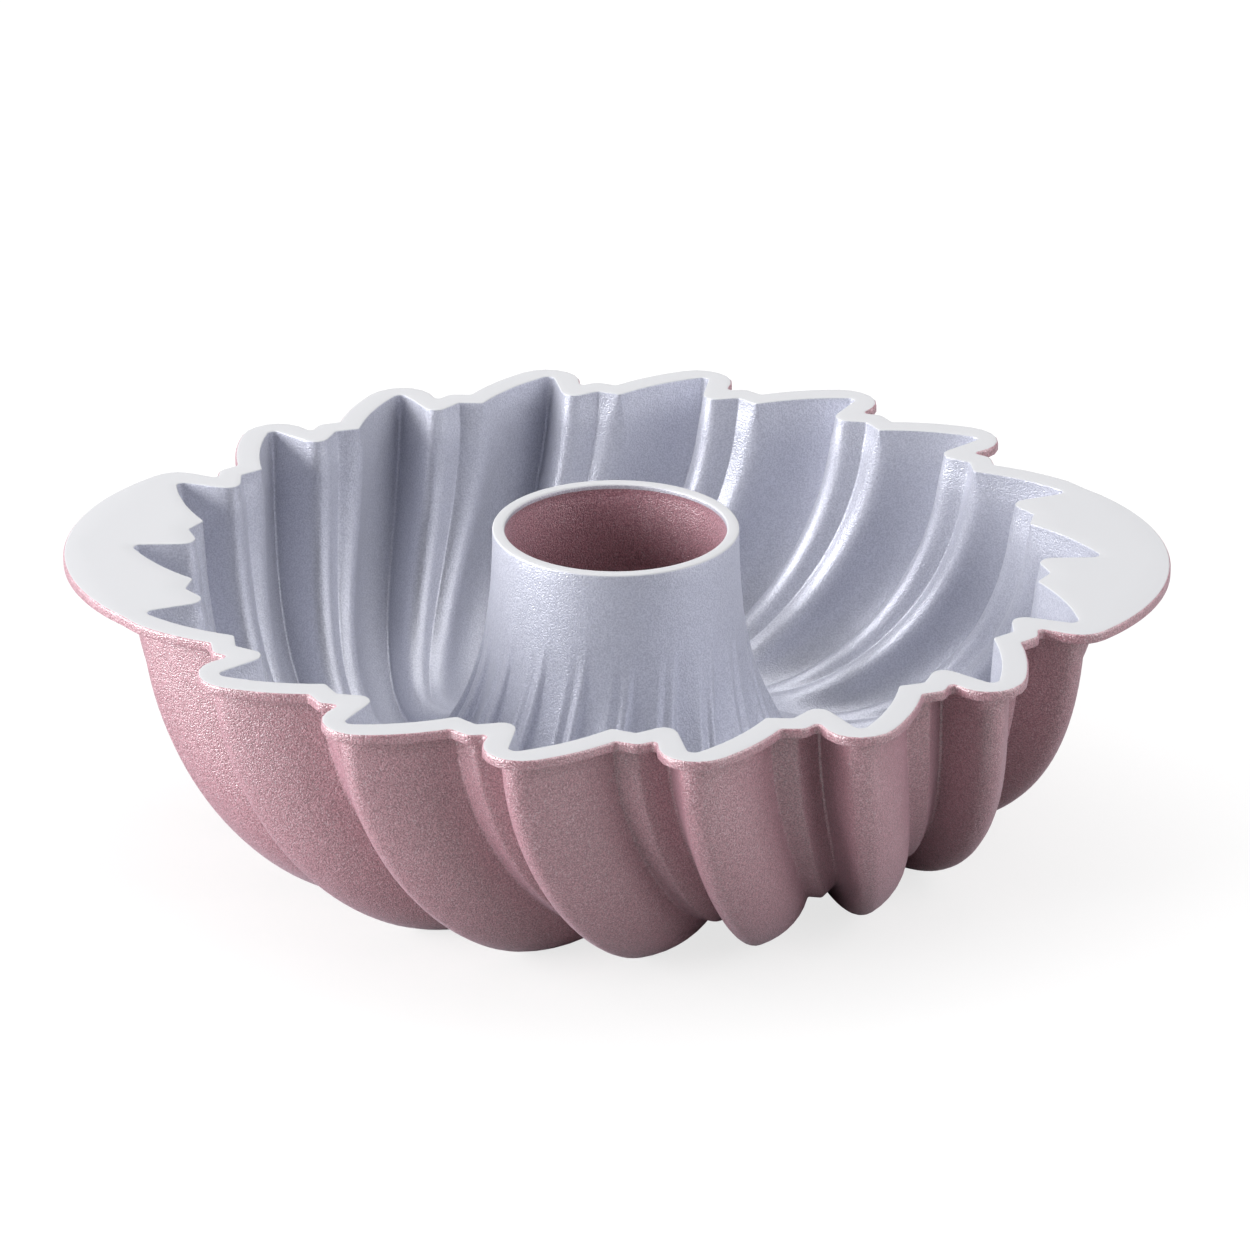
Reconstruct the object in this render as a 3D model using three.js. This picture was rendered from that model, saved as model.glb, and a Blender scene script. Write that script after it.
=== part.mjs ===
import * as THREE from "three";
import { mergeVertices } from "three/addons/utils/BufferGeometryUtils.js";

// Fluted tube cake pan. Millimetres, +Z up, standing on z = 0, handles along X.
// One aluminium casting, with a non-stick film sprayed inside and a coloured film outside.

// Rim
const RIM_HEIGHT = 72; // top face of the rim above the table
const RIM_TIP_RADIUS = 122; // inner edge of the rim at the tip of a flute
const RIM_RIDGE_RADIUS = 107; // inner edge of the rim at the ridge between two flutes
const RIM_ROUND = 1.2; // rounding where the wall turns out into the rim
const RIM_WIDTH = 6; // flat top face, measured square to the outline
const RIM_THICKNESS = 2.6;

// Handles: an arc drawn out from the rim over three flutes, once at each end of X
const HANDLE_REACH = 139.5; // farthest point of a handle from the axis of the tube
const HANDLE_SIDESTEP = 1.9; // handles stand this much off X, against the swirl
const HANDLE_ARC_RADIUS = 64.7;
const HANDLE_FLUTES = 3;

// Channel and tube
const FLOOR_RADIUS = 70; // lowest circle of the channel
const TUBE_HEIGHT = 78.5; // top of the tube above the table
const TUBE_RADIUS = 31.1; // outside, at the top
const TUBE_FLARE_RADIUS = 37; // where the foot of the tube swings out into the floor
const TUBE_FLARE_HEIGHT = 50;

// Flutes
const FLUTE_COUNT = 18;
const FLUTE_SWIRL = THREE.MathUtils.degToRad(42); // turn from the rim to the top of the tube
const FLUTE_END = 1.8; // place along the channel where the flutes have faded out
const FLUTE_TIP_ROUND = 0.6;
const FLUTE_TIP_SWELL = 1.04; // sets the corners of a tip's facets a little out of its round
const FLUTE_TIP = [0, 1]; // corners as shares of the pitch and of the flute's depth
const FLUTE_CORNERS = [[0.54, 0], [0.696, 0.16], [0.965, -0.12]];

// Metal, films and feet
const WALL = 2.8; // over both films
const FILM = 0.2;
const REST_TRIM = 1; // dressed off the lowest crests so that the pan stands without rocking

// Places along the channel, from 0 at the rim
const FLOOR_PLACE = 1;
const TUBE_PLACE = 2; // top of the tube
const WALL_PLACES = [0.17, 0.35, 0.53, 0.71, 0.88];
const FLARE_PLACES = [1.2, 1.4, 1.6, 1.8];
const CHANNEL_PLACES = [...WALL_PLACES, FLOOR_PLACE, ...FLARE_PLACES];

const PITCH = (2 * Math.PI) / FLUTE_COUNT;
const RIM_DEPTH = RIM_TIP_RADIUS - RIM_RIDGE_RADIUS;
const WALL_RADIUS = RIM_RIDGE_RADIUS - RIM_ROUND;
const HANDLE_CENTRE = new THREE.Vector2(HANDLE_REACH - HANDLE_ARC_RADIUS, -HANDLE_SIDESTEP);
const FLOOR_HEIGHT = fluteDepth(FLOOR_PLACE) + WALL - REST_TRIM;
const RIM_START = placeBelowRim(RIM_ROUND);
const UNDER_RIM = placeBelowRim(RIM_THICKNESS);

// Section of the channel along the ridges: a quarter ellipse down, then the flared tube up
const wallCurve = new THREE.EllipseCurve(
  FLOOR_RADIUS, RIM_HEIGHT, WALL_RADIUS - FLOOR_RADIUS, RIM_HEIGHT - FLOOR_HEIGHT,
  0, -Math.PI / 2, true,
);
const tubeCurve = new THREE.CubicBezierCurve(
  new THREE.Vector2(FLOOR_RADIUS, FLOOR_HEIGHT),
  new THREE.Vector2(TUBE_FLARE_RADIUS, FLOOR_HEIGHT),
  new THREE.Vector2(TUBE_RADIUS, TUBE_FLARE_HEIGHT),
  new THREE.Vector2(TUBE_RADIUS, TUBE_HEIGHT),
);

function placeBelowRim(drop) {
  return (FLOOR_PLACE * Math.asin(drop / (RIM_HEIGHT - FLOOR_HEIGHT))) / (Math.PI / 2);
}

function fluteDepth(place) {
  return RIM_DEPTH * (1 - THREE.MathUtils.smoothstep(place, 0, FLUTE_END));
}

function swirl(place) {
  return FLUTE_SWIRL * THREE.MathUtils.smoothstep(place, 0, TUBE_PLACE);
}

// Square to the line from p to q, pointing away from the inside of the pan
function squareTo(p, q) {
  const along = q.clone().sub(p).normalize();
  return new THREE.Vector2(-along.y, along.x);
}

// One flute laid out flat, moved into the metal by a depth: x runs round the pan, y outwards
function fluteOutline(place, radius, depth) {
  const flat = ([share, height]) => (
    new THREE.Vector2(share * PITCH * radius, height * fluteDepth(place))
  );
  const tip = flat(FLUTE_TIP);
  const nextTip = tip.clone().setX(PITCH * radius);
  const corners = FLUTE_CORNERS.map(flat);
  const before = corners.at(-1).clone();
  before.x -= PITCH * radius;

  const steep = squareTo(before, tip);
  const shallow = squareTo(tip, corners[0]);
  const middle = steep.clone().add(shallow).normalize();
  const centre = tip.clone().addScaledVector(middle, -FLUTE_TIP_ROUND);
  const roundTip = [steep, middle, shallow].map((way) => (
    centre.clone().addScaledVector(way, (FLUTE_TIP_ROUND + depth) * FLUTE_TIP_SWELL)
  ));

  const mitred = corners.map((corner, i) => {
    const inWay = squareTo(corners[i - 1] ?? tip, corner);
    const outWay = squareTo(corner, corners[i + 1] ?? nextTip);
    const mitre = inWay.clone().add(outWay).divideScalar(1 + inWay.dot(outWay));
    return corner.clone().addScaledVector(mitre, depth);
  });
  return [...roundTip, ...mitred];
}

// Ring of points round the pan at one place along the channel, at a depth into the metal
function ring(place, depth, floor = 0) {
  const onTube = place > FLOOR_PLACE;
  const curve = onTube ? tubeCurve : wallCurve;
  const along = onTube
    ? (place - FLOOR_PLACE) / (TUBE_PLACE - FLOOR_PLACE)
    : place / FLOOR_PLACE;
  const base = curve.getPoint(along);
  const tangent = curve.getTangent(along);
  const out = new THREE.Vector2(-tangent.y, tangent.x);
  const radius = base.x + (out.x * fluteDepth(place)) / 2;
  let outline = fluteOutline(place, radius, depth);
  if (onTube) {
    outline = outline.filter((point, i) => i % 2 === 1);
  }

  const points = [];
  for (let flute = 0; flute < FLUTE_COUNT; flute += 1) {
    for (const { x, y } of outline) {
      const angle = flute * PITCH + x / radius + swirl(place);
      const reach = base.x + out.x * y;
      const height = Math.max(base.y + out.y * y, floor);
      points.push(new THREE.Vector3(reach * Math.cos(angle), reach * Math.sin(angle), height));
    }
  }
  return points;
}

function atHeight(points, height) {
  return points.map((point) => point.clone().setZ(height));
}

// How far a handle reaches from the axis in a given direction
function handleReach(angle) {
  const away = HANDLE_CENTRE.length();
  const turn = angle - HANDLE_CENTRE.angle();
  return away * Math.cos(turn) + Math.sqrt(HANDLE_ARC_RADIUS ** 2 - (away * Math.sin(turn)) ** 2);
}

// Outer edge of the rim, drawn out over the flutes that carry a handle
function rimEdge(inset, height) {
  const points = atHeight(ring(0, RIM_ROUND + RIM_WIDTH - inset), height);
  const perFlute = points.length / FLUTE_COUNT;
  const half = FLUTE_COUNT / 2;
  const side = (HANDLE_FLUTES - 1) / 2;
  points.forEach((point, i) => {
    const flute = Math.floor(i / perFlute);
    const fromHandle = ((flute + side) % half) - side;
    if (fromHandle <= side) {
      const turned = flute + side < half || flute + side >= FLUTE_COUNT ? 0 : Math.PI;
      const reach = handleReach(Math.atan2(point.y, point.x) - turned) - inset;
      const radius = Math.hypot(point.x, point.y);
      point.x *= Math.max(reach / radius, 1);
      point.y *= Math.max(reach / radius, 1);
    }
  });
  return points;
}

// Facets between two neighbouring rings, the second with as many points or half as many
function strip(upper, lower) {
  const faces = [];
  lower.forEach((a, i) => {
    const b = lower[(i + 1) % lower.length];
    if (upper.length === lower.length) {
      const c = upper[i];
      const d = upper[(i + 1) % upper.length];
      if (c.distanceTo(b) < d.distanceTo(a)) {
        faces.push([c, d, b], [c, b, a]);
      } else {
        faces.push([c, d, a], [d, b, a]);
      }
    } else {
      const [c, d, e] = [1, 2, 3].map((step) => upper[(2 * i + step) % upper.length]);
      faces.push([c, d, a], [d, b, a], [d, e, b]);
    }
  });
  return faces;
}

function skin(rings) {
  return {
    first: rings[0],
    last: rings.at(-1),
    faces: rings.slice(1).flatMap((lower, i) => strip(rings[i], lower)),
  };
}

// Skins run from the edge of the rim to the edge of the bore, sunk below the finished surface
function insideSkin(sunk) {
  return skin([
    rimEdge(sunk, RIM_HEIGHT - sunk),
    atHeight(ring(0, RIM_ROUND), RIM_HEIGHT - sunk),
    ring(RIM_START, sunk),
    ...CHANNEL_PLACES.map((place) => ring(place, sunk)),
    atHeight(ring(TUBE_PLACE, sunk), TUBE_HEIGHT - sunk),
    atHeight(ring(TUBE_PLACE, WALL - sunk), TUBE_HEIGHT - sunk),
  ]);
}

function outsideSkin(sunk) {
  return skin([
    rimEdge(sunk, RIM_HEIGHT - sunk),
    rimEdge(sunk, RIM_HEIGHT - RIM_THICKNESS + sunk),
    atHeight(ring(UNDER_RIM, WALL - sunk), RIM_HEIGHT - RIM_THICKNESS + sunk),
    ...CHANNEL_PLACES.map((place) => ring(place, WALL - sunk, sunk)),
    atHeight(ring(TUBE_PLACE, WALL - sunk), TUBE_HEIGHT - sunk),
  ]);
}

function flip(faces) {
  return faces.map(([a, b, c]) => [a, c, b]);
}

// Solid between a skin that faces up and one below it
function layer(name, material, upper, lower) {
  const faces = [
    ...upper.faces,
    ...flip(lower.faces),
    ...flip(strip(upper.first, lower.first)),
    ...strip(upper.last, lower.last),
  ].filter(([a, b, c]) => !a.equals(b) && !b.equals(c) && !c.equals(a));
  const positions = faces.flat().flatMap((point) => point.toArray());
  const geometry = new THREE.BufferGeometry();
  geometry.setAttribute("position", new THREE.Float32BufferAttribute(positions, 3));
  const mesh = new THREE.Mesh(mergeVertices(geometry, 1e-5), material);
  mesh.geometry.computeVertexNormals();
  mesh.name = name;
  return mesh;
}

const aluminium = new THREE.MeshStandardMaterial({
  color: 0xc4c7cb, metalness: 0.9, roughness: 0.45,
});
const satinGrey = new THREE.MeshStandardMaterial({
  color: 0xa9adb8, metalness: 0.35, roughness: 0.5,
});
const dustyRose = new THREE.MeshStandardMaterial({
  color: 0xa47c84, metalness: 0.35, roughness: 0.55,
});

const inside = insideSkin(0);
const underInside = insideSkin(FILM);
const underOutside = outsideSkin(FILM);
const outside = outsideSkin(0);

const pan = new THREE.Group();
pan.name = "fluted_tube_cake_pan";
pan.add(
  layer("cast_body", aluminium, underInside, underOutside),
  layer("nonstick_coating", satinGrey, inside, underInside),
  layer("outer_coating", dustyRose, underOutside, outside),
);

export default pan;
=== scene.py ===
import math
from contextlib import contextmanager

import bpy
import numpy as np
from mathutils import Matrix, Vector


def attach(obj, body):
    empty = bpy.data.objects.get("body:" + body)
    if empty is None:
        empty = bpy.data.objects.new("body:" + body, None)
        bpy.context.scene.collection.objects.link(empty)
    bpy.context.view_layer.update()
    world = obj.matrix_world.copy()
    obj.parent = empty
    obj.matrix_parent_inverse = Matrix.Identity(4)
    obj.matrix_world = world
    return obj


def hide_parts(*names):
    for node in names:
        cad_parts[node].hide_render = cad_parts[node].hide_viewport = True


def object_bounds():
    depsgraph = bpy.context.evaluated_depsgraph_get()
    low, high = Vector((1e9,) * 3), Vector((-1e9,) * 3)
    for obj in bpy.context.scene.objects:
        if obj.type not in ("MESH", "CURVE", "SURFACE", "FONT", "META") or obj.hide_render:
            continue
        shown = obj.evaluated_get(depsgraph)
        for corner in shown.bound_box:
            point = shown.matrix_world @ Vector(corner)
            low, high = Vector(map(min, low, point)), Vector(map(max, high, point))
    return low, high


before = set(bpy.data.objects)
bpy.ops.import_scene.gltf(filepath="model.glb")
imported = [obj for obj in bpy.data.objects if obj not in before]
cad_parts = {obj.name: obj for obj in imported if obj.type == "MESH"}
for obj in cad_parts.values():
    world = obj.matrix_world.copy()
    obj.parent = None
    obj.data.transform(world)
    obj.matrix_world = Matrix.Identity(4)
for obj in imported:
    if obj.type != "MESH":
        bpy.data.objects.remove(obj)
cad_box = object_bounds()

# Fluted tube cake pan: a casting with a grey lining sprayed inside and a rose coat outside.
# Metres, +Z up, standing on the floor, handles along X.
MM = 0.001
QUARTER_TURN = math.pi / 2

# Rim and handles
RIM_HEIGHT = 72 * MM
RIM_TIP_RADIUS = 122 * MM
RIM_RIDGE_RADIUS = 107 * MM
RIM_SHOULDER = 1.2 * MM
RIM_WIDTH = 6 * MM
RIM_THICKNESS = 2.6 * MM
RIM_EDGE_ROUND = 0.7 * MM
RIM_UNDER_ROUND = 0.35 * MM
RIM_COAT_TURN = math.radians(60)
RIM_INNER_ROUND = 0.25 * MM
RIM_DRAFT = RIM_SHOULDER - RIM_INNER_ROUND
RIM_DRAFT_DEPTH = 9 * MM
RIM_FILLET = 0.6 * MM
HANDLE_REACH = cad_box[1][0]
HANDLE_SIDESTEP = 1.9 * MM
HANDLE_ARC_RADIUS = 64.7 * MM
HANDLE_FLUTES = (-2, -1, 0, 1)
PLAIN_FLUTES = (2, 3, 4, 5, 6)

# Channel and tube
FLOOR_RADIUS = 70 * MM
TUBE_HEIGHT = 78.5 * MM
TUBE_RADIUS = 31.1 * MM
TUBE_FLARE_RADIUS = 37 * MM
TUBE_FLARE_HEIGHT = 50 * MM
LIP_OUTER_ROUND = 0.4 * MM
LIP_INNER_ROUND = 0.5 * MM
LIP_PROUD = 0.25 * MM
LIP_COAT_DROP = 1.3 * MM
LIP_RELIEF_DROP = 1.8 * MM
BORE_ROWS_DROP = 2 * LIP_RELIEF_DROP

# Places along the channel: 0 at the rim, 1 on the floor, 2 at the tube's lip
FLOOR_PLACE = 1.0
TUBE_PLACE = 2.0
FLUTE_END = 1.8
# Where the flutes soften, and where the ribs at the tube's foot rise and die out
FADE_PLACES = (0.8, 1.5)
TUBE_FOOT_RISE = (1.15, 1.4)
TUBE_FOOT_FALL = (1.5, FLUTE_END)
# Where the rounds and the long faces grow to their full form below the rim
LOWER_PLACES = (0, 0.08)
LOW_BULGE_PLACES = (0, 0.6)

# Flutes, their corners as shares of the pitch and of the depth
FLUTE_COUNT = 18
FLUTE_SWIRL = math.radians(42)
FLUTE_TIP = (0.0, 1.0)
FLUTE_RIDGE = (0.537, 0.0)
FLUTE_RIB = (0.695, 0.178)
FLUTE_SHOULDER = (0.959, -0.153)
TIP_ROUND = 0.6 * MM
TIP_SOFTEN = 2
TIP_BLUNT = 1.17
RIDGE_ROUND = 2.0 * MM
RIDGE_SWELL = 4.0 * MM
RIB_ROUND = 0.9 * MM
RIB_BLUNT = 0.3
SHOULDER_ROUND = 4.4 * MM
SHOULDER_CRISP = 0.5
SHOULDER_EASE = 0.08
BACK_EASE = 0.5
BACK_SOFTEN = 2
GROOVE_ROUND = 1.2 * MM
GROOVE_CRISP = 0.4
TUBE_RELIEF = 0.9 * MM
TUBE_RIB_LIFT = 0.45 * MM
FACE_BULGE = 0.037
LOW_BULGE = 0.16
FACE_SHARE = 0.94
TUBE_FACE_SHARE_LOSS = 0.25

# Metal and films
WALL = 2.8 * MM
FILM = 0.2 * MM
REST_TRIM = 1.0 * MM
WELD = 0.002 * MM
FOOT_WELD = 0.15 * MM
LEAST_ARC = 0.25 * MM
LEAST_TURN = 0.001
CREASE_ANGLE = math.radians(50)

# Rows and cuts of the meshes
WALL_ROWS = 34
TUBE_ROWS = 24
CLEAR_OF_ROUND = 3
RIM_TOP_CUTS = 2
ARC_CUTS = 4
LONG_CUTS = 7
NARROW_CUTS = 2
RIB_CUTS = 3
STEEP_CUTS = 4
TIP_CUTS = 3
HANDLE_LEAD = 2
ROUND_CUTS = 4
LAND_CUTS = 4
HALVINGS = 40

# Rose coat, and the part of the grain's range that both coats spread their tones over
GRAIN_RANGE = (0.3, 0.7)
ROSE_GRAIN = 0.4 * MM
ROSE_DARK = (0.255, 0.100, 0.124, 1)
ROSE_LIGHT = (0.550, 0.270, 0.326, 1)
ROSE_BUMP = 0.25 * MM
# Flakes in the coat, drawn with a pale tone that is a painted glint
GLINT_FLAKE_SIZE = 0.36 * MM
GLINT_FLAKE_RANGE = (0.62, 0.70)
GLINT_FLAKE_SHARE = 0.35
GLINT_FLAKE_TONE = (0.85, 0.72, 0.80, 1)
SHEEN_TINT = (0.9, 0.86, 1.0, 1)

# Grey lining, plainer and more matte on the flat tops of the rim and the lip, where its neutral
# tone is painted top light
GREY_GRAIN = 0.42 * MM
GREY_DARK = (0.485, 0.495, 0.572, 1)
GREY_LIGHT = (0.632, 0.642, 0.715, 1)
GREY_METAL = 0.38
GREY_ROUGH = 0.32
GREY_BUMP = 0.13 * MM
CLOUD_SIZE = 30 * MM
CLOUD_ROUGH = 0.06
# Painted top light: this tone stands in for the light that the flat tops catch as they face up
PAINTED_TOP_LIGHT_TONE = (0.532, 0.534, 0.553, 1)
FLAT_ROUGH = 0.36
FLAT_CALM = 0.85
FLAT_RIM_HEIGHTS = (71.7 * MM, 71.95 * MM)
FLAT_RIM_RADIUS = 90 * MM
FLAT_LIP_HEIGHTS = (78.0 * MM, 78.4 * MM)

# Bare aluminium
METAL_GRAIN = 1.2 * MM
METAL_DARK = (0.52, 0.53, 0.54, 1)
METAL_LIGHT = (0.68, 0.69, 0.70, 1)
METAL_ROUGH = 0.42
METAL_GRAIN_ROUGH = 0.16
METAL_BUMP = 0.1 * MM

# Studio: lamps by compass angle, height angle, width and height, and brightness
WHITE = (1, 1, 1, 1)
PAPER_SIZE = 12
PAPER_DROP = 0.1 * MM
PAPER_BOUNCE = (0.38, 0.38, 0.38, 1)
PAPER_GLOW = 0.75
LAMP_DISTANCE = 1.6
LAMPS = (
    ("key", 195, 15, (1.65, 0.85), 11.2),
    ("right", 345, 28, (1.7, 1.7), 2.4),
    ("overhead", 90, 72, (2.4, 1.6), 2.15),
    ("back", 105, 28, (3.2, 1.7), 0.5),
)
VIEW_AIM = (0.0025, -0.0075, 0.0548)
VIEW_DISTANCE = 1.508
VIEW_ELEVATION = math.radians(23.79)
VIEW_TURN = math.radians(1.303)
VIEW_LENS = 172.3
VIEW_SENSOR = 36

PITCH = 2 * math.pi / FLUTE_COUNT
RIM_DEPTH = RIM_TIP_RADIUS - RIM_RIDGE_RADIUS
WALL_RADIUS = RIM_RIDGE_RADIUS - RIM_SHOULDER


def smooth(value, low, high):
    share = min(max((value - low) / (high - low), 0.0), 1.0)
    return share * share * (3 - 2 * share)


def turned(way, angle):
    c, s = math.cos(angle), math.sin(angle)
    return np.array([c * way[0] - s * way[1], s * way[0] + c * way[1]])


def left_of(way):
    return np.array([-way[1], way[0]])


def unit(vector):
    return vector / np.linalg.norm(vector)


# How far a corner moves when the two faces that meet there move by one
def mitre(into, out_of):
    return (left_of(into) + left_of(out_of)) / (1 + np.dot(into, out_of))


def between(first, last, cuts):
    return [first + (last - first) * k / cuts for k in range(1, cuts)]


# Insets along a quarter round: the first grows from nothing and the second shrinks to nothing
def quarter_round(size):
    turns = [QUARTER_TURN * k / ROUND_CUTS for k in range(ROUND_CUTS + 1)]
    return [(size * (1 - math.cos(turn)), size * (1 - math.sin(turn))) for turn in turns]


def flute_depth(place):
    return RIM_DEPTH * (1 - smooth(place, 0, FLUTE_END))


def swirl(place):
    return FLUTE_SWIRL * smooth(place, 0, TUBE_PLACE)


FLOOR_HEIGHT = flute_depth(FLOOR_PLACE) + WALL - REST_TRIM
CHANNEL_DEPTH = RIM_HEIGHT - FLOOR_HEIGHT


def place_below_rim(drop):
    return math.asin(drop / CHANNEL_DEPTH) / QUARTER_TURN


def drop_at(place):
    return CHANNEL_DEPTH * math.sin(min(place, FLOOR_PLACE) * QUARTER_TURN)


# Section along the ridges: a quarter ellipse down, then the flared tube up, and its way outwards
def section(place):
    if place <= FLOOR_PLACE:
        turn, width = place * QUARTER_TURN, WALL_RADIUS - FLOOR_RADIUS
        base = np.array([
            FLOOR_RADIUS + width * math.cos(turn), RIM_HEIGHT - CHANNEL_DEPTH * math.sin(turn),
        ])
        tangent = np.array([-width * math.sin(turn), -CHANNEL_DEPTH * math.cos(turn)])
    else:
        t = place - FLOOR_PLACE
        a, b, c, d = np.array([
            [FLOOR_RADIUS, FLOOR_HEIGHT], [TUBE_FLARE_RADIUS, FLOOR_HEIGHT],
            [TUBE_RADIUS, TUBE_FLARE_HEIGHT], [TUBE_RADIUS, TUBE_HEIGHT],
        ])
        s = 1 - t
        base = s ** 3 * a + 3 * s * s * t * b + 3 * s * t * t * c + t ** 3 * d
        tangent = s * s * (b - a) + 2 * s * t * (c - b) + t * t * (d - c)
    return base, left_of(unit(tangent))


# Place on the tube a little below its top
def lip_place(drop):
    low, high = FLOOR_PLACE, TUBE_PLACE
    for _ in range(HALVINGS):
        middle = (low + high) / 2
        if section(middle)[0][1] < TUBE_HEIGHT - drop:
            low = middle
        else:
            high = middle
    return low


# How far a depth goes through the wall
def share_of_wall(depth):
    return min(depth / WALL, 1)


# How far the flutes have faded on their way to the tube
def faded(place):
    return smooth(place, *FADE_PLACES)


# Where the ribs at the foot of the tube stand out, on the front of the wall only
def tube_foot(place, depth):
    rise, fall = smooth(place, *TUBE_FOOT_RISE), smooth(place, *TUBE_FOOT_FALL)
    return rise * (1 - fall) * (1 - share_of_wall(depth))


# Corners of one flute laid flat, and the ways its faces reach and leave each of them.
# x runs round the pan and y outwards.
def flute_corners(place, radius, depth):
    foot = tube_foot(place, depth)
    pitch, deep = PITCH * radius, flute_depth(place) + TUBE_RELIEF * foot
    step = np.array([pitch, 0.0])
    tip, ridge, rib, shoulder = (
        np.array([share * pitch, height * deep])
        for share, height in (FLUTE_TIP, FLUTE_RIDGE, FLUTE_RIB, FLUTE_SHOULDER)
    )
    shoulder[0] -= SHOULDER_EASE * (1 + BACK_EASE * share_of_wall(depth)) * faded(place) * pitch
    shoulder[1] -= TUBE_RIB_LIFT * foot
    rib[1] += TUBE_RIB_LIFT * foot

    # A shallow arc leaves its chord at a slope of four times its rise over the chord
    full = FACE_BULGE + LOW_BULGE * smooth(place, *LOW_BULGE_PLACES)
    bulge = 4 * full * deep / np.linalg.norm(ridge - tip)
    chord = unit(ridge - tip)
    long_start, long_end = turned(chord, bulge), turned(chord, -bulge)
    narrow, rib_face = unit(rib - ridge), unit(shoulder - rib)
    steep = unit(tip + step - shoulder)

    # The sharp tip stands further out, so that its round just reaches the full depth
    middle = unit(left_of(steep) + left_of(long_start))
    half_turn = math.acos(max(-1.0, min(1.0, float(np.dot(steep, long_start))))) / 2
    tip = tip + middle * TIP_ROUND * (1 / math.cos(half_turn) - 1)
    return (
        [tip, ridge, rib, shoulder, tip + step],
        [steep, long_end, narrow, rib_face, steep],
        [long_start, narrow, rib_face, steep, long_start],
    )


# Radius of the round on each of those corners
def corner_rounds(place, depth):
    fade, behind = faded(place), share_of_wall(depth)
    lower, fresh = smooth(place, *LOWER_PLACES), fade * (1 - behind)
    soft = 1 + BACK_SOFTEN * fade * behind
    lost = (1 + lower) * depth
    groove = GROOVE_ROUND * (1 - GROOVE_CRISP * lower)
    tip = TIP_ROUND * (1 + TIP_SOFTEN * fade) * soft + TIP_BLUNT * depth
    ridge = (RIDGE_ROUND + RIDGE_SWELL * lower * (1 - fresh)) * soft - lost
    rib = RIB_ROUND * (1 + fade) * soft + (RIB_BLUNT + (1 - RIB_BLUNT) * fade) * depth
    shoulder = SHOULDER_ROUND * (1 - SHOULDER_CRISP * fresh) * soft - lost
    return [tip, max(ridge, groove), rib, max(shoulder, groove), tip]


# The corners moved into the metal by a depth and rounded, within a share of each face
def corner_arcs(corners, arrive, leave, rounds, depth, share):
    moved = [
        corner + mitre(into, out_of) * depth
        for corner, into, out_of in zip(corners, arrive, leave)
    ]
    turns = [
        math.atan2(into[0] * out_of[1] - into[1] * out_of[0], float(np.dot(into, out_of)))
        for into, out_of in zip(arrive, leave)
    ]
    tangents = [
        max(size * math.tan(abs(turn) / 2), LEAST_ARC) for size, turn in zip(rounds, turns)
    ]
    fits = []
    for i in range(len(moved) - 1):
        face = np.linalg.norm(moved[i + 1] - moved[i])
        fits.append(min(1.0, share * face / (tangents[i] + tangents[i + 1])))
    fits = [fits[-1], *fits, fits[0]]

    arcs = []
    for i, corner in enumerate(moved):
        into, turn = arrive[i], turns[i]
        tangent = tangents[i] * min(fits[i], fits[i + 1])
        start = corner - into * tangent
        cuts = 2 * TIP_CUTS if i in (0, len(moved) - 1) else ARC_CUTS
        if abs(turn) < LEAST_TURN:
            run = (into + leave[i]) * tangent
            arcs.append([start + run * k / cuts for k in range(cuts + 1)])
        else:
            centre = start + left_of(into) * tangent / math.tan(turn / 2)
            spoke = start - centre
            arcs.append([centre + turned(spoke, turn * k / cuts) for k in range(cuts + 1)])
    return arcs


# Points inside a face, which leaves its start and reaches its end along its own ways
def face_points(start, end, leave, arrive, cuts):
    reach = np.linalg.norm(end - start)
    points = []
    for k in range(1, cuts):
        t = k / cuts
        points.append(
            (2 * t ** 3 - 3 * t * t + 1) * start + (3 * t * t - 2 * t ** 3) * end
            + (t ** 3 - 2 * t * t + t) * reach * leave
            + (t ** 3 - t * t) * reach * arrive
        )
    return points


# One flute laid flat at a depth into the metal, from the middle of one tip to the next
def flute_outline(place, radius, depth):
    corners, arrive, leave = flute_corners(place, radius, depth)
    share = FACE_SHARE - TUBE_FACE_SHARE_LOSS * tube_foot(place, depth)
    arcs = corner_arcs(corners, arrive, leave, corner_rounds(place, depth), depth, share)
    arcs[0], arcs[-1] = arcs[0][TIP_CUTS:], arcs[-1][:TIP_CUTS + 1]
    points = arcs[0]
    for i, cuts in enumerate((LONG_CUTS, NARROW_CUTS, RIB_CUTS, STEEP_CUTS)):
        start, end = arcs[i][-1], arcs[i + 1][0]
        points = points + face_points(start, end, leave[i], arrive[i + 1], cuts) + arcs[i + 1]
    return np.array(points)


# One row of points across a flute, at a place along the channel and a depth into the metal
def flute_row(flute, place, depth, height=None):
    base, out = section(place)
    radius = base[0] + out[0] * flute_depth(place) / 2
    flat = flute_outline(place, radius, depth)
    angle = flute * PITCH + flat[:, 0] / radius + swirl(place)
    reach = base[0] + out[0] * flat[:, 1]
    level = base[1] + out[1] * flat[:, 1] if height is None else np.full(len(flat), height)
    return np.stack([reach * np.cos(angle), reach * np.sin(angle), level], axis=1)


# Reach of the handle's arc from the pan's axis, at angles round the pan
def handle_reach(angle, inset):
    centre = np.array([HANDLE_REACH - HANDLE_ARC_RADIUS, -HANDLE_SIDESTEP])
    way = np.stack([np.cos(angle), np.sin(angle)], axis=1)
    across = way[:, 0] * centre[1] - way[:, 1] * centre[0]
    return way @ centre + np.sqrt(np.maximum(HANDLE_ARC_RADIUS ** 2 - across ** 2, 0)) - inset


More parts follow.
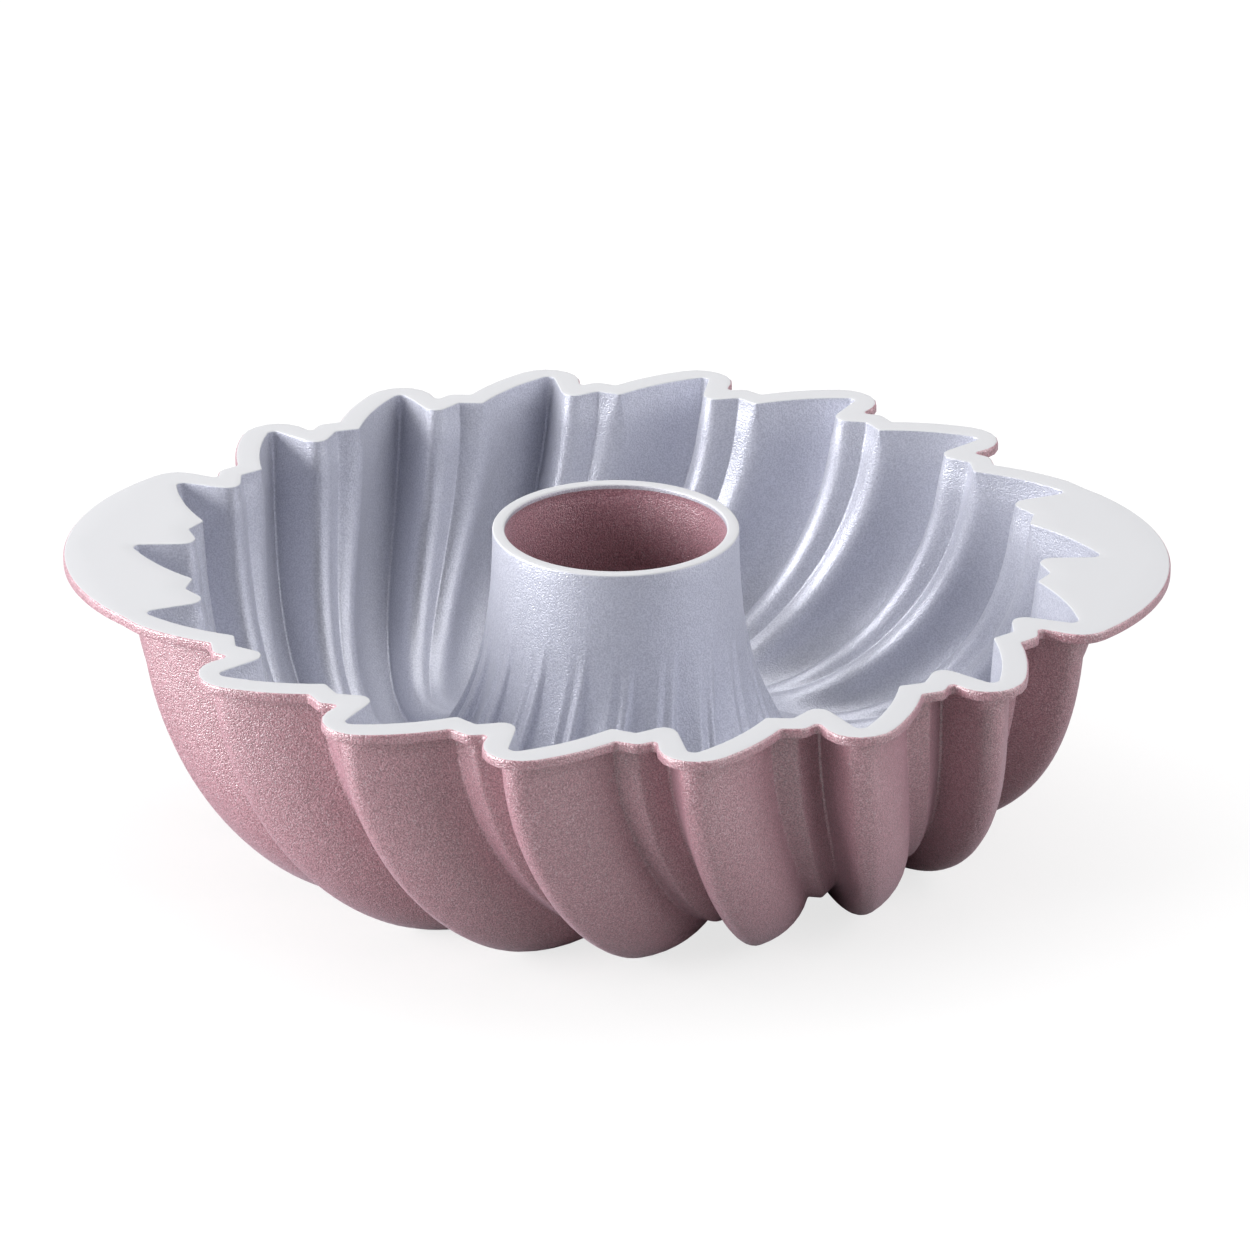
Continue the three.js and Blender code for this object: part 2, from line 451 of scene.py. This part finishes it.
# Outer edge of the rim across a flute, drawn out to the handle's arc where there is one.
# The first of the handle's flutes only leads up to it, along its steep face.
def rim_edge(flute, inset, height):
    row = flute_row(flute, 0, RIM_SHOULDER + RIM_WIDTH - inset, height)
    if flute not in HANDLE_FLUTES:
        return row
    radius = np.hypot(row[:, 0], row[:, 1])
    angle = np.arctan2(row[:, 1], row[:, 0])
    held = handle_reach(angle, inset) > radius
    leads_up = flute == HANDLE_FLUTES[0]
    tip = len(row) - 1 - TIP_CUTS
    if leads_up:
        held[:tip] = False
    on = np.flatnonzero(held)
    angle[on] = np.linspace(angle[on[0]], angle[on[-1]], len(on))
    reach = radius.copy()
    reach[on] = handle_reach(angle[on], inset)
    if leads_up:
        growth = reach[tip] / radius[tip] - 1
        reach[tip - STEEP_CUTS:tip] *= 1 + growth * np.arange(STEEP_CUTS) / STEEP_CUTS
    row[:, 0], row[:, 1] = reach * np.cos(angle), reach * np.sin(angle)
    if leads_up:
        first, cuts = tip - HANDLE_LEAD, TIP_CUTS + HANDLE_LEAD
        t = (np.arange(1, cuts) / cuts)[:, None]
        start, corner, end = row[first].copy(), row[tip].copy(), row[-1].copy()
        row[first + 1:-1] = (1 - t) ** 2 * start + 2 * t * (1 - t) * corner + t * t * end
    return row


# Row on the rounded upper edge of the rim, by how far the round has turned
def rim_round(flute, turn):
    inset = RIM_EDGE_ROUND * (1 - math.cos(turn))
    return rim_edge(flute, inset, RIM_HEIGHT - RIM_EDGE_ROUND * (1 - math.sin(turn)))


# Rows of the lining, from the edge of the rim in over the flutes and up to the bore's lip
def lining_rows(flute):
    rows = []
    for k in range(RIM_TOP_CUTS + 1):
        turn = RIM_COAT_TURN + (QUARTER_TURN - RIM_COAT_TURN) * k / RIM_TOP_CUTS
        rows.append(rim_round(flute, turn))
    inner = flute_row(flute, 0, RIM_SHOULDER, RIM_HEIGHT)
    rows += between(rows[-1], inner, LAND_CUTS)
    for drop, inset in quarter_round(RIM_INNER_ROUND):
        rows.append(
            flute_row(flute, place_below_rim(drop), RIM_DRAFT + inset, RIM_HEIGHT - drop)
        )
    start = place_below_rim(CLEAR_OF_ROUND * RIM_INNER_ROUND)
    for place in np.linspace(start, FLOOR_PLACE, WALL_ROWS):
        left = 1 - smooth(drop_at(place), RIM_INNER_ROUND, RIM_DRAFT_DEPTH)
        rows.append(flute_row(flute, place, RIM_DRAFT * left))
    for place in np.linspace(FLOOR_PLACE, lip_place(LIP_OUTER_ROUND), TUBE_ROWS)[1:]:
        rows.append(flute_row(flute, place, 0))
    for inset, drop in quarter_round(LIP_OUTER_ROUND)[1:]:
        rows.append(flute_row(flute, TUBE_PLACE, inset, TUBE_HEIGHT - drop))
    flat_end = WALL + LIP_PROUD - LIP_INNER_ROUND
    for k in range(ROUND_CUTS + 1):
        turn = QUARTER_TURN * k / ROUND_CUTS
        depth = flat_end + LIP_INNER_ROUND * math.sin(turn)
        height = TUBE_HEIGHT - LIP_INNER_ROUND * (1 - math.cos(turn))
        rows.append(flute_row(flute, TUBE_PLACE, depth, height))
    rows.append(flute_row(flute, TUBE_PLACE, WALL + LIP_PROUD, TUBE_HEIGHT - LIP_COAT_DROP))
    return rows


# Rows of the outer coat, from the edge of the rim down the wall and up the bore to the lip
def outer_rows(flute):
    under = RIM_HEIGHT - RIM_THICKNESS
    rows = [
        rim_round(flute, RIM_COAT_TURN * (1 - k / ROUND_CUTS)) for k in range(ROUND_CUTS + 1)
    ]
    for inset, rise in quarter_round(RIM_UNDER_ROUND):
        rows.append(rim_edge(flute, inset, under + rise))
    inner = flute_row(flute, place_below_rim(RIM_THICKNESS), WALL + RIM_FILLET, under)
    rows += between(rows[-1], inner, LAND_CUTS)
    for fall, inset in quarter_round(RIM_FILLET):
        drop = RIM_THICKNESS + fall
        rows.append(flute_row(flute, place_below_rim(drop), WALL + inset, RIM_HEIGHT - drop))
    start = place_below_rim(RIM_THICKNESS + CLEAR_OF_ROUND * RIM_FILLET)
    wall = np.linspace(start, FLOOR_PLACE, WALL_ROWS)
    bore = np.linspace(FLOOR_PLACE, lip_place(BORE_ROWS_DROP), TUBE_ROWS)[1:]
    for place in (*wall, *bore):
        rows.append(flute_row(flute, place, WALL))
    rows.append(flute_row(flute, TUBE_PLACE, WALL, TUBE_HEIGHT - LIP_RELIEF_DROP))
    rows.append(flute_row(flute, TUBE_PLACE, WALL + LIP_PROUD, TUBE_HEIGHT - LIP_COAT_DROP))
    return rows


def only(piece):
    bpy.ops.object.select_all(action="DESELECT")
    piece.select_set(True)
    bpy.context.view_layer.objects.active = piece


# Edit mode on one piece, with all of its mesh selected
@contextmanager
def editing(piece):
    only(piece)
    bpy.ops.object.mode_set(mode="EDIT")
    bpy.ops.mesh.select_all(action="SELECT")
    yield
    bpy.ops.object.mode_set(mode="OBJECT")


# A grid shaped to one flute, row by row
def flute_strip(rows):
    bpy.ops.object.select_all(action="DESELECT")
    bpy.ops.mesh.primitive_grid_add(
        x_subdivisions=len(rows[0]) - 1, y_subdivisions=len(rows) - 1, size=1,
    )
    strip = bpy.context.object
    strip.data.vertices.foreach_set("co", np.concatenate(rows).astype(np.float32).ravel())
    strip.data.update()
    return strip


def joined(pieces, name):
    only(pieces[0])
    for piece in pieces:
        piece.select_set(True)
    bpy.ops.object.join()
    pieces[0].name = pieces[0].data.name = name
    return pieces[0]


# Copies spun round the pan's axis
def spin_copies(piece, copies, angle):
    with editing(piece):
        bpy.ops.mesh.spin(
            steps=copies, angle=angle * copies, dupli=True, center=(0, 0, 0), axis=(0, 0, -1),
        )


# A skin of the whole pan: one plain flute spun round, the handle's flutes, and half a turn of both
def pan_skin(rows_of, name):
    plain = flute_strip(rows_of(PLAIN_FLUTES[0]))
    spin_copies(plain, len(PLAIN_FLUTES) - 1, PITCH)
    skin = joined([plain] + [flute_strip(rows_of(flute)) for flute in HANDLE_FLUTES], name)
    spin_copies(skin, 1, math.pi)
    with editing(skin):
        bpy.ops.mesh.remove_doubles(threshold=WELD)
    return skin


# Dresses the lowest crests off flat, so that the pan stands on its feet
def dress_feet(piece):
    with editing(piece):
        bpy.ops.mesh.bisect(
            plane_co=(0, 0, 0), plane_no=(0, 0, 1), clear_inner=True, use_fill=True,
            threshold=WELD,
        )
        bpy.ops.mesh.remove_doubles(threshold=FOOT_WELD)


def face_outwards(piece):
    with editing(piece):
        bpy.ops.mesh.normals_make_consistent(inside=False)


def thicken(piece, amount):
    only(piece)
    film = piece.modifiers.new("film", "SOLIDIFY")
    film.thickness = amount
    film.offset = -1
    film.use_even_offset = False
    bpy.ops.object.modifier_apply(modifier=film.name)


def smooth_faces(piece):
    only(piece)
    bpy.ops.object.shade_smooth_by_angle(angle=CREASE_ANGLE)


def copy_of(piece):
    only(piece)
    bpy.ops.object.duplicate()
    return bpy.context.object


lining = pan_skin(lining_rows, "lining")
outer = pan_skin(outer_rows, "outer_coat")
dress_feet(outer)
face_outwards(lining)
face_outwards(outer)

# The casting fills the space between the two skins, a film's thickness inside them
casting = joined([copy_of(lining), copy_of(outer)], "casting")
with editing(casting):
    bpy.ops.mesh.remove_doubles(threshold=WELD)
    bpy.ops.mesh.normals_make_consistent(inside=False)
    bpy.ops.transform.shrink_fatten(value=-FILM)

thicken(lining, FILM)
thicken(outer, FILM)

for piece in (lining, outer, casting):
    smooth_faces(piece)


# A value in a shader, on which sums add Math nodes
class Value:
    def __init__(self, finish, socket):
        self.finish = finish
        self.socket = socket

    def sum(self, operation, first, second):
        return self.finish.node("ShaderNodeMath", {"operation": operation}, {0: first, 1: second})

    def __add__(self, other):
        return self.sum("ADD", self, other)

    __radd__ = __add__

    def __rsub__(self, other):
        return self.sum("SUBTRACT", other, self)

    def __mul__(self, other):
        return self.sum("MULTIPLY", self, other)

    __rmul__ = __mul__

    def __gt__(self, other):
        return self.sum("GREATER_THAN", self, other)


# A material made of nodes
class Finish:
    def __init__(self, name):
        self.material = bpy.data.materials.new(name)
        self.material.use_nodes = True
        self.tree = self.material.node_tree
        self.tree.nodes.clear()

    def node(self, kind, settings, sockets, output=0):
        made = self.tree.nodes.new(kind)
        for key, value in settings.items():
            setattr(made, key, value)
        for key, value in sockets.items():
            if isinstance(value, Value):
                self.tree.links.new(value.socket, made.inputs[key])
            else:
                made.inputs[key].default_value = value
        return Value(self, made.outputs[output]) if made.outputs else None

    def place(self):
        return self.node("ShaderNodeTexCoord", {}, {}, "Object")

    def noise(self, vector, size, detail, rough=0.5):
        return self.node("ShaderNodeTexNoise", {}, {
            "Vector": vector, "Scale": 1 / size, "Detail": detail, "Roughness": rough,
        })

    def ramp(self, value, low, high):
        return self.node("ShaderNodeMapRange", {"interpolation_type": "SMOOTHSTEP"}, {
            "Value": value, "From Min": low, "From Max": high, "To Min": 0.0, "To Max": 1.0,
        })

    # A Mix node keeps its two colours in sockets 6 and 7, and gives their mix from its output 2
    def mix(self, share, first, second):
        return self.node("ShaderNodeMix", {"data_type": "RGBA"}, {
            "Factor": share, 6: first, 7: second,
        }, 2)

    def bump(self, height, strength, distance):
        return self.node("ShaderNodeBump", {}, {
            "Strength": strength, "Distance": distance, "Height": height,
        })

    def surface(self, **sockets):
        shader = self.node("ShaderNodeBsdfPrincipled", {}, {
            key.replace("_", " "): value for key, value in sockets.items()
        })
        self.node("ShaderNodeOutputMaterial", {}, {"Surface": shader})
        return self.material


# Rose with a sandy grain and a few flakes, which are real but are painted pale as the glints they
# throw
def rose_finish():
    f = Finish("rose_coat")
    at = f.place()
    grain = f.noise(at, ROSE_GRAIN, detail=1.0)
    glint_flake = f.ramp(f.noise(at, GLINT_FLAKE_SIZE, detail=0.0), *GLINT_FLAKE_RANGE)
    tone = f.mix(f.ramp(grain, *GRAIN_RANGE), ROSE_DARK, ROSE_LIGHT)
    # Painted glints: the flakes take a pale tone
    tone = f.mix(glint_flake * GLINT_FLAKE_SHARE, tone, GLINT_FLAKE_TONE)
    return f.surface(
        Base_Color=tone,
        Metallic=0.0,
        IOR=1.85,
        Specular_IOR_Level=1.0,
        Roughness=0.35,
        Sheen_Weight=0.3,
        Sheen_Roughness=0.45,
        Sheen_Tint=SHEEN_TINT,
        Normal=f.bump(grain, strength=1.0, distance=ROSE_BUMP),
    )


# Satin grey with a fine spray grain, and painted top light on the flat tops of the rim and the lip
def grey_finish():
    f = Finish("nonstick_grey")
    at = f.place()
    height = f.node("ShaderNodeSeparateXYZ", {}, {"Vector": at}, "Z")
    radius = f.node("ShaderNodeVectorMath", {"operation": "LENGTH"}, {
        0: f.node("ShaderNodeVectorMath", {"operation": "MULTIPLY"}, {0: at, 1: (1, 1, 0)}),
    }, "Value")
    grain = f.noise(at, GREY_GRAIN, detail=1.0)
    cloud = f.noise(at, CLOUD_SIZE, detail=2.0)
    face = f.ramp(height, *FLAT_RIM_HEIGHTS) * (radius > FLAT_RIM_RADIUS)
    lip = f.ramp(height, *FLAT_LIP_HEIGHTS)
    tone = f.mix(f.ramp(grain, *GRAIN_RANGE), GREY_DARK, GREY_LIGHT)
    flat = face + lip
    # Painted top light on the flat tops of the rim and the lip
    tone = f.mix(flat, tone, PAINTED_TOP_LIGHT_TONE)
    return f.surface(
        Base_Color=tone,
        Metallic=GREY_METAL - GREY_METAL * flat,
        Roughness=GREY_ROUGH + CLOUD_ROUGH * cloud + FLAT_ROUGH * flat,
        Normal=f.bump(grain * (1 - FLAT_CALM * flat), strength=1.0, distance=GREY_BUMP),
    )


# Aluminium as cast
def aluminium_finish():
    f = Finish("cast_aluminium")
    at = f.place()
    grain = f.noise(at, METAL_GRAIN, detail=3.0, rough=0.6)
    tone = f.mix(grain, METAL_DARK, METAL_LIGHT)
    return f.surface(
        Base_Color=tone,
        Metallic=1.0,
        Roughness=METAL_ROUGH + METAL_GRAIN_ROUGH * grain,
        Normal=f.bump(grain, strength=0.3, distance=METAL_BUMP),
    )


def dress(piece, material, node):
    piece.data.materials.clear()
    piece.data.materials.append(material)
    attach(piece, "root")
    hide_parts(node)


dress(lining, grey_finish(), "nonstick_coating")
dress(outer, rose_finish(), "outer_coating")
dress(casting, aluminium_finish(), "cast_body")


# Floor of white paper, which the camera sees brighter than it bounces light
bpy.ops.object.select_all(action="DESELECT")
bpy.ops.mesh.primitive_plane_add(size=PAPER_SIZE, location=(0, 0, -PAPER_DROP))
floor = bpy.context.object
floor.name = "floor"
paper = Finish("white_floor")
seen = paper.node("ShaderNodeLightPath", {}, {}, "Is Camera Ray")
tone = paper.mix(seen, PAPER_BOUNCE, WHITE)
white = paper.node("ShaderNodeBsdfDiffuse", {}, {"Color": tone})
glow = paper.node("ShaderNodeEmission", {}, {"Color": WHITE, "Strength": 1.0})
paper.node("ShaderNodeOutputMaterial", {}, {
    "Surface": paper.node("ShaderNodeMixShader", {}, {0: seen * PAPER_GLOW, 1: white, 2: glow}),
})
floor.data.materials.append(paper.material)

# Light from the lamps alone
scene = bpy.context.scene
scene.view_settings.view_transform = "Standard"
world = bpy.data.worlds.new("studio")
world.use_nodes = True
world.node_tree.nodes["Background"].inputs["Strength"].default_value = 0.0
scene.world = world


# A panel that faces the pan
def soft_box(name, around, up, size, bright):
    lamp = bpy.data.lights.new(name, "AREA")
    lamp.shape = "RECTANGLE"
    lamp.size, lamp.size_y = size
    lamp.energy = math.pi * size[0] * size[1] * bright
    box = bpy.data.objects.new(name, lamp)
    scene.collection.objects.link(box)
    around, up = math.radians(around), math.radians(up)
    box.location = (
        LAMP_DISTANCE * math.cos(up) * math.cos(around),
        LAMP_DISTANCE * math.cos(up) * math.sin(around),
        LAMP_DISTANCE * math.sin(up) + RIM_HEIGHT / 2,
    )
    box.rotation_euler = (QUARTER_TURN - up, 0, around + QUARTER_TURN)


for lamp in LAMPS:
    soft_box(*lamp)

# Camera
camera = bpy.data.objects.new("camera", bpy.data.cameras.new("camera"))
scene.collection.objects.link(camera)
camera.data.lens = VIEW_LENS
camera.data.sensor_width = VIEW_SENSOR
camera.location = (
    VIEW_AIM[0] + VIEW_DISTANCE * math.cos(VIEW_ELEVATION) * math.sin(VIEW_TURN),
    VIEW_AIM[1] - VIEW_DISTANCE * math.cos(VIEW_ELEVATION) * math.cos(VIEW_TURN),
    VIEW_AIM[2] + VIEW_DISTANCE * math.sin(VIEW_ELEVATION),
)
camera.rotation_euler = (QUARTER_TURN - VIEW_ELEVATION, 0, VIEW_TURN)
scene.camera = camera
